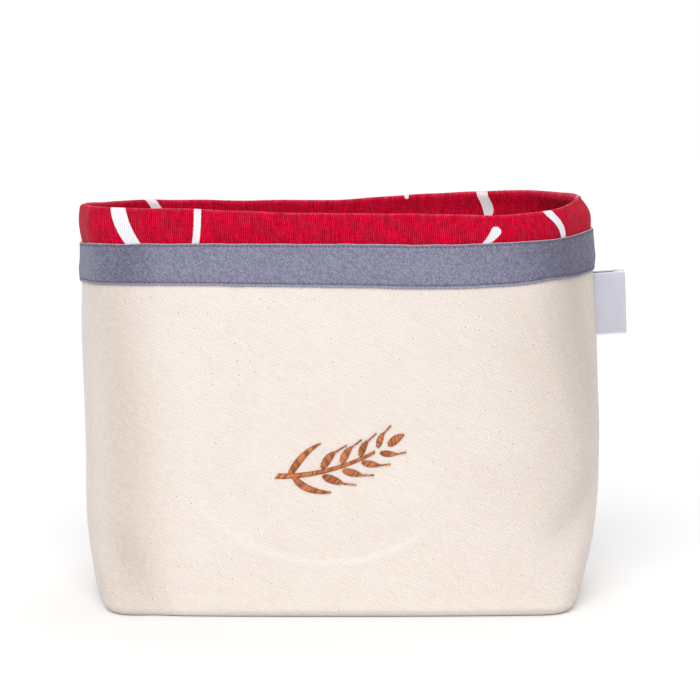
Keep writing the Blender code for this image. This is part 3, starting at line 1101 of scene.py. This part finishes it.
# %% Node groups
def make_group(name, build, outputs, **inputs):
    """A node group. build takes a bench and the inputs, and returns a list of the outputs.

    inputs gives each input a value to start from, and an input without one is a vector.
    """
    tree = bpy.data.node_groups.new(name, "ShaderNodeTree")
    for socket, value in inputs.items():
        kind = "NodeSocketVector" if value is None else "NodeSocketFloat"
        made = tree.interface.new_socket(name=socket, in_out="INPUT", socket_type=kind)
        if value is not None:
            made.default_value = value
    for socket in outputs:
        tree.interface.new_socket(name=socket, in_out="OUTPUT", socket_type="NodeSocketFloat")
    bench = Bench(tree)
    given = tree.nodes.new("NodeGroupInput").outputs
    results = build(bench, **{socket: Wire(bench, given[socket]) for socket in inputs})
    bench.feed(tree.nodes.new("NodeGroupOutput"), dict(zip(outputs, results)))
    print(f"group {name}: {bench.count} nodes")
    return tree


# %% [markdown]
# ## Shared groups
#
# **Twill** is what both the canvas and the ribbon are woven in. Each weft thread passes over two
# or more warp threads, one step further along in each row, and that makes fine slanting ribs of
# short floats. The group turns the map so that X crosses the ribs, numbers the ribs and the
# floats along each of them, rounds them, and gives each float a lightness of its own. Yarn is
# the slower unevenness of the spinning, which runs along the ribs.

# %% Twill
FLOAT_STEP = 0.37  # how far along each rib's floats begin from its neighbour's


def weave_twill(bench, vector, pitch, slope, float_long, wander):
    ribs = bench.grown(bench.turned(vector, slope * (math.pi / 180) - math.pi / 2), 1 / pitch)
    across = bench.part(ribs, 0) + (bench.noise(ribs, 0.2, 3, 0.6) - 0.5) * wander
    rib_number = bench.math("ROUND", across)
    steps = bench.part(ribs, 1) / float_long + rib_number * FLOAT_STEP
    float_tone = bench.random(rib_number, bench.math("ROUND", steps))
    ridge, swell = bench.wave(across), bench.wave(steps)
    height = ridge * (swell * 0.4 + 0.6) * (float_tone * 0.5 + 0.75)
    groove = 1 - ridge * (swell * 0.35 + 0.65)
    yarn = bench.noise(bench.scaled(ribs, 1, 0.07), 1.1, 2, 0.6)
    return [height, groove, float_tone, yarn]


twill = make_group(
    "twill", weave_twill, ("height", "groove", "float_tone", "yarn"),
    vector=None, pitch=0.0011, slope=27, float_long=2.6, wander=0.3,
)

# %% [markdown]
# **Plain weave** is the linen's: each thread goes over one and under the next. Flax yarn is
# uneven, so a thread is thicker and lighter for a centimetre or two, then thin again, and pushes
# its neighbours aside a little. Each thread is numbered, and reads its own line of noise, so that
# neighbours differ.

# %% Plain weave with slubs
LINE_STEP = 7.31  # how far apart two neighbouring threads read the noise


def thread_line(bench, number, place, slub):
    """The unevenness along one numbered thread."""
    line = bench.add("ShaderNodeCombineXYZ", {0: number * LINE_STEP, 1: place / slub})
    return bench.noise(line, 1, 2, 0.7)


def weave_plain(bench, vector, pitch, warp_slub, weft_slub, wander):
    threads = bench.grown(vector, 1 / pitch)
    aside = (bench.noise(threads, 0.22, 2, 0.5) - 0.5) * wander
    x, y = bench.part(threads, 0) + aside, bench.part(threads, 1) + aside
    warp_number, weft_number = bench.math("FLOOR", x), bench.math("FLOOR", y)
    warp, weft = (abs(bench.math("SINE", way * math.pi)) for way in (x, y))
    over = bench.math("PINGPONG", warp_number + weft_number, 1)
    woven = (warp - weft) * over + weft
    gap = 1 - warp * (weft * 0.5 + 0.5)
    slub = thread_line(bench, warp_number, y, warp_slub) * 0.65
    slub = slub + thread_line(bench, weft_number, x, weft_slub) * 0.35
    return [slub * 0.5 + woven * 0.75, slub, gap, bench.random(warp_number, weft_number)]


plain_weave = make_group(
    "plain_weave", weave_plain, ("height", "slub", "gap", "crossing"),
    vector=None, pitch=0.0011, warp_slub=9, weft_slub=6, wander=1.2,
)

# %% [markdown]
# **Mottle** is the slow change of colour that any cloth has from dye, handling and folding.
# **Specks** are the bits of seed coat that unbleached cotton keeps: Voronoi gives every small
# cell one point, and only the few cells with a low random number show theirs.

# %% Mottle and specks
def lay_patches(bench, vector, size):
    patches = bench.grown(vector, 1 / size)
    return [bench.noise(patches, 1, 3, 0.55) * 0.7 + bench.noise(patches, 9, 2, 0.6) * 0.3]


def scatter(bench, vector, spacing, share, size):
    cells = bench.grown(vector, 1 / spacing)
    away = bench.add("ShaderNodeTexVoronoi", {"Vector": cells, "Scale": 1}, voronoi_dimensions="2D")
    chance = bench.part(away.other("Color"), 0)
    ragged = bench.noise(cells, 14, 1) * size + size
    return [(away < ragged) * (chance < share)]


mottle = make_group("mottle", lay_patches, ("value",), vector=None, size=0.03)
specks = make_group("specks", scatter, ("mask",), vector=None, spacing=0.006, share=0.2, size=0.05)

# %% [markdown]
# **Painted stroke** is one white line of the lining's print: a capsule with round ends, bent by
# a bow, thinner towards one end, with a slightly uneven edge as ink has on linen.

# %% Painted stroke
INK_ROUGHNESS = 0.6 * MM
INK_SOFTNESS = 0.12 * MM


def paint_stroke(bench, vector, middle, lean, half_length, half_width, bow, taper):
    from_middle = bench.turned(bench.vector("SUBTRACT", vector, middle), lean)
    ahead = bench.part(from_middle, 0) / half_length
    beside = bench.part(from_middle, 1) - ahead * ahead * bow
    beyond = bench.math("MAXIMUM", abs(bench.part(from_middle, 0)) - half_length, 0)
    away = bench.math("SQRT", beyond * beyond + beside * beside)
    width = half_width * bench.math("MAXIMUM", 1 - taper * ahead, 0.2)
    width = width + (bench.noise(vector, 900, 2, 0.6) - 0.5) * INK_ROUGHNESS
    return [bench.between(width - away, -INK_SOFTNESS, INK_SOFTNESS)]


painted_stroke = make_group(
    "painted_stroke", paint_stroke, ("mask",), vector=None, middle=None, lean=0,
    half_length=0.02, half_width=0.003, bow=0.002, taper=0.3,
)


# %% Colours as a paint card gives them, and what every finish begins with
def paint(red, green, blue):
    """A colour from 0 to 255 as the shader wants it."""
    def linear(part):
        part /= 255
        return part / 12.92 if part <= 0.04045 else ((part + 0.055) / 1.055) ** 2.4
    return (linear(red), linear(green), linear(blue), 1)


def new_finish(name):
    """A material, its bench, and its shader."""
    material = bpy.data.materials.new(name)
    material.use_nodes = True
    return material, Bench(material.node_tree), material.node_tree.nodes["Principled BSDF"]


def cloth_finish(name):
    """A new finish, and the wires from the cloth's own map and from its note of painted light and
    rubbing.
    """
    material, bench, shader = new_finish(name)
    cloth_map = bench.add("ShaderNodeUVMap", uv_map=CLOTH_MAP)
    painted_light_and_wear = bench.add("ShaderNodeAttribute", output=2, attribute_name=LIGHT_AND_WEAR_NAME)
    return material, bench, shader, cloth_map, painted_light_and_wear


def mottled(bench, place, size, first, second):
    """Two near colours, in slow patches."""
    patches = bench.group(mottle, vector=place, size=size).value
    return bench.layered(first, (bench.between(patches, 0.3, 0.7), second))


def bumped(bench, height, depth):
    """A normal that is raised by a height from 0 to 1, depth metres at 1."""
    return bench.add("ShaderNodeBump", {"Height": height, "Distance": depth, "Strength": 1})


# %% [markdown]
# ## Cream canvas
#
# Unbleached cotton twill is matt and warm. Painted shade darkens the grooves between its ribs, and
# the corners, their feet and the deepest folds. Some yarns are greyer or yellower, and a few dark
# specks and short fibres are left in the weave. The embroidery hoop has pressed a faint, paler ring
# into the front. It is too shallow to model, so the finish finds it by its distance from the hoop's
# middle.

# %% Canvas finish
CANVAS_PITCH = 1.12 * MM
CANVAS_RIB = 0.2 * MM
CANVAS_SHADE_STRENGTH = 0.38  # how far the most shaded place goes towards the painted shade colours
HOOP_X, HOOP_HEIGHT, HOOP_RADIUS, HOOP_WIDTH = -6, 130.8, 97.5, 3.8
HOOP_SHOWS_BELOW, HOOP_GONE_ABOVE = 0.03, 0.08
canvas_finish, bench, shader, cloth_map, painted_light_and_wear = cloth_finish("cream twill canvas")
weave = bench.group(twill, vector=cloth_map, pitch=CANVAS_PITCH, slope=28, wander=0.5)
seeds = bench.group(specks, vector=cloth_map, spacing=0.0078, share=0.15, size=0.024).mask
drawn_out = bench.scaled(bench.turned(cloth_map, 0.7), 1, 0.3)
fibres = bench.group(specks, vector=drawn_out, spacing=0.008, share=0.1, size=0.018).mask

place = bench.add("ShaderNodeTexCoord", output="Object")
from_hoop = bench.vector("SUBTRACT", place, (HOOP_X * MM, 0, HOOP_HEIGHT * MM))
from_hoop = bench.vector("LENGTH", bench.scaled(from_hoop, 1, 0)).other("Value")
ring = bench.between(abs(from_hoop - HOOP_RADIUS * MM), 0, HOOP_WIDTH * MM, 1, 0)
up = bench.part(place, 2)
ring = ring * bench.between(up, HOOP_SHOWS_BELOW, HOOP_GONE_ABOVE, 1, 0)
ring = ring * (bench.part(place, 1) < 0)  # on the front only

# Painted shade: the corners, their feet and the deepest folds go darker, and so do the grooves'
# colours.
painted_light_and_wear = painted_light_and_wear * CANVAS_SHADE_STRENGTH
light = bench.layered(paint(248, 240, 234), (painted_light_and_wear, paint(206, 188, 174)))
shade = bench.layered(paint(182, 168, 158), (painted_light_and_wear, paint(72, 58, 50)))
cream = bench.layered(
    mottled(bench, cloth_map, 0.035, paint(225, 214, 206), paint(230, 220, 212)),
    (painted_light_and_wear, paint(168, 149, 136)),
    (weave.float_tone * 0.42, light),
    (bench.between(weave.yarn, 0.4, 0.7, 0, 0.3), paint(216, 204, 194)),
    # painted shade in the grooves between the ribs
    (bench.between(weave.groove, 0.35, 1, 0, 0.54), shade),
    (seeds * 0.75, paint(104, 80, 62)),
    (fibres * 0.5, paint(136, 110, 90)),
    (ring * 0.2, paint(244, 236, 229)),
)
bench.feed(shader, {
    "Base Color": cream,
    "Normal": bumped(bench, weave.height, CANVAS_RIB),
    "Roughness": bench.between(weave.yarn, 0.2, 0.8, 0.88, 0.97),
    "Specular IOR Level": 0.25,
    "Sheen Weight": 0.12,
    "Sheen Roughness": 0.5,
})
canvas.data.materials.append(canvas_finish)
print("canvas finish:", bench.count, "nodes")

# %% [markdown]
# ## Red linen
#
# The lining is dyed red and printed with loose white lines. The table gives each line's place on
# the cloth: u is the way round from the left seam and v the way up from the base's edge. The inside
# ends at the rim, about 245 mm up, and the cuff goes on from there, so a line can run over the rim
# as it does on real cloth. The gaps between the threads get painted shade. The top of the turned
# rim is a little paler, thread by thread, partly from rubbing by hands and partly as a painted
# highlight where the roll catches the light, and the cut's note says where that is.

# %% The print
Stroke = namedtuple("Stroke", "name u v lean length width bow taper")
STROKES = (
    Stroke("cuff_left_sweep", 92, 262, 57, 56, 7.5, -6, 0.2),
    Stroke("cuff_left_slim", 128, 262, 104, 42, 4, 3, 0.1),
    Stroke("cuff_right_dash", 300, 259, 128, 14, 4.4, 0.6, 0.4),
    Stroke("cuff_right_bar", 352, 262, 66, 46, 4.8, 4, 0.2),
    Stroke("cuff_right_slim", 404, 262, 97, 44, 2.6, -3, 0.1),
    Stroke("cuff_back_sweep", 520, 258, 60, 60, 6.5, -6, 0.2),
    Stroke("cuff_back_slim", 561, 262, 104, 44, 3, 3, 0.1),
    Stroke("cuff_back_dash", 640, 259, 130, 15, 4.6, 0.5, 0.3),
    Stroke("cuff_back_long", 742, 258, 70, 70, 5.5, 7, 0.2),
    Stroke("cuff_side_slim", 812, 262, 96, 42, 3.4, -2, 0.1),
    Stroke("inside_front_sweep", 210, 150, 40, 150, 7, 18, 0.3),
    Stroke("inside_front_low", 300, 70, 155, 120, 6, -14, 0.3),
    Stroke("inside_left", 60, 140, 100, 130, 5.5, 10, 0.2),
    Stroke("inside_right", 430, 130, 78, 150, 6, -12, 0.2),
    Stroke("inside_back_sweep", 560, 160, 146, 150, 7, -16, 0.3),
    Stroke("inside_back_high", 640, 196, 30, 110, 5, 9, 0.3),
    Stroke("inside_back_low", 700, 90, 62, 150, 6.5, 14, 0.2),
    Stroke("inside_back_left", 800, 170, 120, 110, 5, -8, 0.2),
    Stroke("floor_long", -30, -190, 20, 150, 6, 12, 0.2),
    Stroke("floor_short", 60, -215, 120, 90, 5, -8, 0.2),
)

# %% Linen finish
LINEN_PITCH = 1.12 * MM
LINEN_DEPTH = 0.1 * MM
linen_finish, bench, shader, cloth_map, rub_and_highlight = cloth_finish("red printed linen")
weave = bench.group(plain_weave, vector=cloth_map, pitch=LINEN_PITCH)
ink = None
for stroke in STROKES:
    mask = bench.group(
        painted_stroke, vector=cloth_map, middle=(stroke.u * MM, stroke.v * MM, 0),
        lean=-math.radians(stroke.lean), half_length=stroke.length / 2 * MM,
        half_width=stroke.width / 2 * MM, bow=stroke.bow * MM, taper=stroke.taper,
    ).mask
    ink = mask if ink is None else bench.math("MAXIMUM", ink, mask)
red = mottled(bench, cloth_map, 0.04, paint(187, 0, 37), paint(198, 3, 44))
pale = bench.layered(paint(232, 18, 70), (ink, paint(236, 236, 240)))
dark = bench.layered(paint(96, 0, 4), (ink, paint(206, 204, 210)))
dyed = bench.layered(
    red,
    (ink, paint(226, 226, 230)),
    (bench.between(weave.slub, 0.47, 0.62, 0, 0.66), pale),
    (bench.between(weave.slub, 0.38, 0.48, 0.35, 0), dark),
    (weave.crossing * 0.32, pale),
    # painted shade in the gaps between the threads
    (bench.between(weave.gap, 0.3, 0.95, 0, 0.95), dark),
    # the top of the rim: paler from rubbing, with a painted highlight
    (rub_and_highlight * bench.between(weave.slub, 0.4, 0.6, 0.15, 0.6), paint(232, 104, 128)),
)
bench.feed(shader, {
    "Base Color": dyed,
    "Normal": bumped(bench, weave.height, LINEN_DEPTH),
    "Roughness": bench.between(weave.slub, 0.2, 0.8, 0.78, 0.92),
    "Specular IOR Level": 0.08,
    "Sheen Weight": 0.04,
    "Sheen Roughness": 0.3,
})
lining.data.materials.append(linen_finish)
print("linen finish:", len(STROKES), "lines,", bench.count, "nodes")

# %% [markdown]
# ## Blue-grey ribbon
#
# The tape is a finer twill. Its two woven edges are paler, partly from loose yarn and partly as a
# painted highlight where they catch the light: the upper one shows a thin, pale, slightly frayed
# line, and the lower one a paler lip below the stitches. Both are found from v, the way up the
# tape, and broken up by noise. Painted shade darkens the cloth along each row of stitches, where
# the stitches draw a groove, and round the corners.

# %% Ribbon finish
RIBBON_PITCH = 1.0 * MM
RIBBON_RIB = 0.16 * MM
RIBBON_SHADE_STRENGTH = 0.7
FRAY_WIDTH = 0.52 * MM
LIP_WIDTH = 0.95 * MM
ribbon_finish, bench, shader, cloth_map, painted_light_and_wear = cloth_finish("blue-grey twill ribbon")
weave = bench.group(
    twill, vector=cloth_map, pitch=RIBBON_PITCH, slope=36, float_long=1.2, wander=1.3
)
way_up = bench.part(cloth_map, 1)
frayed = bench.noise(bench.scaled(cloth_map, 1, 0.3), 1400, 2) * 0.8 + 0.6
fray_and_highlight = frayed * FRAY_WIDTH - (RIBBON_TALL * MM - way_up)
lip = frayed * LIP_WIDTH - way_up
from_top_row, from_low_row = (
    abs(way_up - (row_level - 1) * RIBBON_TALL * MM) for row_level in (TOP_ROW_LEVEL, LOW_ROW_LEVEL)
)

# Painted shade round the corners, and in the grooves between the ribs.
painted_light_and_wear = painted_light_and_wear * RIBBON_SHADE_STRENGTH
light = bench.layered(paint(164, 164, 185), (painted_light_and_wear, paint(124, 122, 144)))
shade = bench.layered(paint(76, 74, 96), (painted_light_and_wear, paint(26, 25, 42)))
blue = bench.layered(
    mottled(bench, cloth_map, 0.03, paint(116, 115, 136), paint(120, 120, 140)),
    (painted_light_and_wear, paint(80, 78, 98)),
    (weave.float_tone * 0.78, light),
    (bench.between(weave.yarn, 0.4, 0.75, 0, 0.35), paint(148, 148, 170)),
    (bench.between(weave.groove, 0.35, 1, 0, 0.76), shade),
    # frayed yarn and a painted highlight along the upper edge
    (bench.between(fray_and_highlight, -0.0001, 0.0002, 0, 0.92), paint(216, 200, 208)),
    (bench.between(lip, -0.0003, 0.0003, 0, 0.4), paint(158, 154, 178)),
    # painted shade in the grooves that the two rows of stitches draw
    (bench.between(from_top_row, 0.0002, 0.0006, 0.1, 0), paint(70, 68, 90)),
    (bench.between(from_low_row, 0.0002, 0.0006, 0.3, 0), paint(70, 68, 90)),
)
bench.feed(shader, {
    "Base Color": blue,
    "Normal": bumped(bench, weave.height, RIBBON_RIB),
    "Roughness": bench.between(weave.yarn, 0.2, 0.8, 0.7, 0.86),
    "Specular IOR Level": 0.25,
    "Sheen Weight": 0.05,
    "Sheen Roughness": 0.4,
})
ribbon.data.materials.append(ribbon_finish)
print("ribbon finish:", bench.count, "nodes")

# %% [markdown]
# ## Label and threads
#
# The label is woven from fine shiny yarn, its level threads close together, with painted shade
# between them. Its top and bottom edges are paler, and a short dark line at its top, by the seam,
# is a painted shadow in the gap where its two layers part.
# It reads the object's own coordinates, since it is flat and upright. The threads share a
# finish: a colour that differs a little from stitch to stitch, and a soft gloss.

# %% Label finish
LABEL_THREAD = 0.42 * MM
CROSS_THREAD = 1.4 * LABEL_THREAD
label_finish, bench, shader = new_finish("pale woven label")
place = bench.add("ShaderNodeTexCoord", output="Object")
reach = bench.part(place, 0) - label_start
up = bench.part(place, 2) - reach * math.sin(LABEL_LEAN)
level_threads = bench.math("SINE", up * (FULL_TURN / LABEL_THREAD))
cross_threads = bench.math("SINE", bench.part(place, 0) * (FULL_TURN / CROSS_THREAD))
grain = level_threads * 0.35 + cross_threads * 0.15 + 0.5
patches = bench.group(mottle, vector=place, size=0.012).value
from_edge = LABEL_TALL / 2 - abs(up - (LABEL_TOP - LABEL_TALL / 2))
from_top = abs(up - (LABEL_TOP - 0.1 * MM))
# a painted shadow in the gap between the two layers, at the top by the seam
painted_gap_shadow = bench.between(from_top, 0.0002, 0.0004, 0.8, 0) * bench.between(reach, 0.012, 0.015, 1, 0)
grey = bench.layered(
    paint(184, 184, 195),
    (bench.between(patches, 0.3, 0.7), paint(188, 188, 199)),
    # painted shade between the threads
    (bench.between(grain, 0.1, 0.5, 0.5, 0), paint(150, 149, 165)),
    (bench.between(from_edge, 0.0004, 0.0016, 0.6, 0), paint(232, 230, 238)),
    (painted_gap_shadow, paint(84, 82, 96)),
)
bench.feed(shader, {
    "Base Color": grey,
    "Normal": bumped(bench, grain, 0.05 * MM),
    "Roughness": bench.between(patches, 0.2, 0.8, 0.45, 0.6),
    "Sheen Weight": 0.15,
})
label.data.materials.append(label_finish)
print("label finish:", bench.count, "nodes")


# %% Thread finishes
def thread_finish(name, deep, dark, light, rough):
    """Spun thread: a tone for each stitch, fibres, and painted shade at its sides and its ends."""
    material, bench, shader = new_finish(name)
    stitch_map = bench.add("ShaderNodeUVMap", uv_map=STITCH_MAP)
    place = bench.add("ShaderNodeTexCoord", output="Object")
    hairs = bench.noise(bench.scaled(place, 1, 0.4), 5200, 2)
    round_thread, along_thread = bench.part(stitch_map, 0), bench.part(stitch_map, 1)
    number = bench.math("FLOOR", round_thread)
    tone = bench.add("ShaderNodeTexWhiteNoise", {"W": number}, noise_dimensions="1D")
    to_side = abs(bench.math("COSINE", round_thread * FULL_TURN))
    to_end = abs(along_thread - 0.5)
    colour = bench.layered(
        dark,
        (tone, light),
        (bench.between(hairs, 0.45, 0.7, 0, 0.35), light),
        # the deep colour is painted shade at the thread's sides and its ends
        (bench.between(to_side, 0, 0.85, 1, 0), deep),
        (bench.between(to_end, 0.2, 0.37, 0, 0.95), deep),
    )
    bench.feed(shader, {
        "Base Color": colour,
        "Normal": bumped(bench, hairs, 0.05 * MM),
        "Roughness": bench.between(hairs, 0.2, 0.8, rough, rough + 0.15),
        "Specular IOR Level": 0.3,
    })
    return material


# the first colour of each thread is its painted shade
for piece, name, deep, dark, light, rough in (
    (
        embroidery, "orange-brown embroidery thread",
        paint(104, 46, 18), paint(138, 66, 26), paint(222, 138, 84), 0.42,
    ),
    (
        ribbon_stitches, "slate sewing thread",
        paint(70, 68, 88), paint(92, 90, 112), paint(122, 120, 142), 0.6,
    ),
):
    piece.data.materials.append(thread_finish(name, deep, dark, light, rough))

# %% [markdown]
# ## The stage
#
# A wide pale floor and soft light from large lamps, as in a product studio. The main lamp is high
# in front and to the left, so the left of the front is brightest and the right side falls off.
# The camera stands where it does in the photograph: 1.4 m away, slightly above the rim, tilted
# 7 degrees down.

# %% Floor and world
SKY_LIGHT = 0.62  # how bright the white world is as light, while the camera sees it at 1

deselect_all()
bpy.ops.mesh.primitive_plane_add(size=14)
floor = bpy.context.object
floor.name = "floor"
floor_finish, bench, shader = new_finish("pale floor")
place = bench.add("ShaderNodeTexCoord", output="Object")
pale = bench.layered(paint(232, 232, 232), (bench.noise(place, 1.5), paint(236, 236, 236)))
bench.feed(shader, {"Base Color": pale, "Roughness": 0.9})
floor.data.materials.append(floor_finish)

world = bpy.data.worlds.new("studio")
bpy.context.scene.world = world
world.use_nodes = True
bench = Bench(world.node_tree)
seen = bench.add("ShaderNodeLightPath")
sky = world.node_tree.nodes["Background"]
bench.feed(sky, {"Color": (1, 1, 1, 1), "Strength": seen * (1 - SKY_LIGHT) + SKY_LIGHT})


# %% Lamps
def add_lamp(name, turned_left, height, width, power):
    """A soft far lamp, all in degrees: how far left of the front, how high and how wide it is."""
    light = bpy.data.lights.new(name, "SUN")
    light.angle = math.radians(width)
    light.energy = power
    lamp = bpy.data.objects.new(name, light)
    lamp.rotation_euler = (math.radians(90 - height), 0, math.radians(-turned_left))
    bpy.context.scene.collection.objects.link(lamp)


add_lamp("main_lamp", 7, 42, 50, 2.26)
add_lamp("back_lamp", 195, 55, 80, 0.7)

# %% Camera
CAMERA_TILT = 7
CAMERA_PLACE = (0.0069, -1.379, 0.3182)
CAMERA_LENS = 116.28
camera_data = bpy.data.cameras.new("camera")
camera_data.sensor_width = 36
camera_data.lens = CAMERA_LENS
camera = bpy.data.objects.new("camera", camera_data)
camera.location = CAMERA_PLACE
camera.rotation_euler = (math.radians(90 - CAMERA_TILT), 0, 0)
bpy.context.scene.collection.objects.link(camera)
bpy.context.scene.camera = camera
bpy.context.scene.view_settings.view_transform = "Standard"

# %% [markdown]
# ## Tying the pieces to the frame
#
# Each piece rides on the bag's one body and stands for its imported node.

# %% Riding and replacing
for piece, node, slot in (
    (canvas, "outer_bag", "twill_canvas"),
    (lining, "lining", "red_linen"),
    (ribbon, "ribbon_band", "twill_ribbon"),
    (label, "side_label", "woven_label"),
):
    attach(piece, "root")
    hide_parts(node)
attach(ribbon_stitches, "root")
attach(embroidery, "root")
